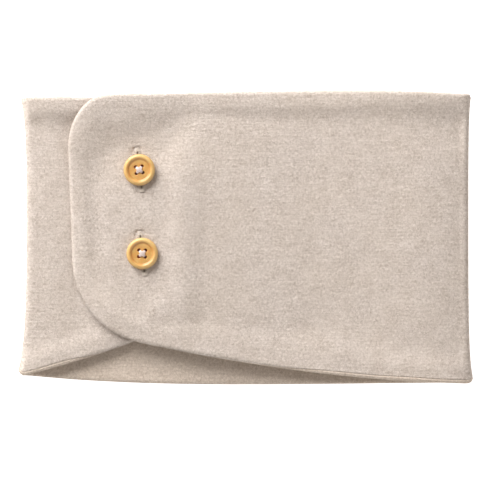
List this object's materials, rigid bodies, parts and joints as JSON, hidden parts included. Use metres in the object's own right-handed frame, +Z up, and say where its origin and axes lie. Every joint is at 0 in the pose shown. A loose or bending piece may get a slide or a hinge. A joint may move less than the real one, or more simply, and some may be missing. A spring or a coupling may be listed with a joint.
{
  "type": "hand warmer muff",
  "caption": "Flat double-layer knit tube, closed by two overlapping flaps that button together, open at both ends for hands.",
  "frame": {"origin": "middle of the flat tube, on the surface that its back panel lies on", "axes": "+Z up out of the back panel, through the flaps; +X towards the outer flap's fold; +Y along the tube, towards its upper opening"},
  "size_m": [0.286, 0.1865, 0.0162],
  "materials": {
    "shell_knit": "brushed oatmeal cotton knit, matt with a soft nap",
    "lining_knit": "the same knit, a little darker, nap inwards",
    "interfacing": "white fused interfacing",
    "button_wood": "golden wood under clear gloss lacquer",
    "thread": "pale spun sewing thread"
  },
  "bodies": {
    "back_panel": {"back_panel_shell": "shell_knit", "back_panel_lining": "lining_knit", "back_top_edge_stitching": "thread", "back_bottom_edge_stitching": "thread", "right_fold_shell": "shell_knit", "right_fold_lining": "lining_knit", "left_fold_shell": "shell_knit", "left_fold_lining": "lining_knit"},
    "outer_flap": {"outer_flap_shell": "shell_knit", "outer_flap_lining": "lining_knit", "outer_flap_interfacing": "interfacing", "outer_flap_edge_stitching": "thread", "upper_buttonhole_cloth": "shell_knit", "lower_buttonhole_cloth": "shell_knit", "upper_buttonhole_stitching": "thread", "lower_buttonhole_stitching": "thread"},
    "under_flap": {"under_flap_shell": "shell_knit", "under_flap_lining": "lining_knit", "under_flap_interfacing": "interfacing", "under_flap_edge_stitching": "thread", "upper_button_shank": "thread", "lower_button_shank": "thread"},
    "upper_button": {"upper_button": "button_wood", "upper_button_thread": "thread"},
    "lower_button": {"lower_button": "button_wood", "lower_button_thread": "thread"}
  },
  "joints": [
    {"name": "outer_flap_fold", "type": "hinge", "parent": "back_panel", "child": "outer_flap", "pos_m": [0.1432, 0, 0.0058], "axis": [0, 1, 0], "range_deg": [0, 177], "deforming": ["right_fold_shell", "right_fold_lining", "upper_buttonhole_cloth", "lower_buttonhole_cloth", "upper_buttonhole_stitching", "lower_buttonhole_stitching"]},
    {"name": "under_flap_fold", "type": "hinge", "parent": "back_panel", "child": "under_flap", "pos_m": [-0.14315, 0, 0.00425], "axis": [0, -1, 0], "range_deg": [0, 172], "deforming": ["left_fold_shell", "left_fold_lining"]},
    {"name": "upper_button_swivel", "type": "hinge", "parent": "under_flap", "child": "upper_button", "pos_m": [-0.06782, 0.04308, 0.0122], "axis": [0, 0, 1], "range_deg": [-45, 45], "stiffness_Nm_per_rad": 0.001},
    {"name": "lower_button_swivel", "type": "hinge", "parent": "under_flap", "child": "lower_button", "pos_m": [-0.06598, -0.00988, 0.0122], "axis": [0, 0, 1], "range_deg": [-45, 45], "stiffness_Nm_per_rad": 0.001}
  ],
  "couplings": [
    {"joint": "under_flap_fold", "follows": "outer_flap_fold", "ratio": 0.9717}
  ]
}
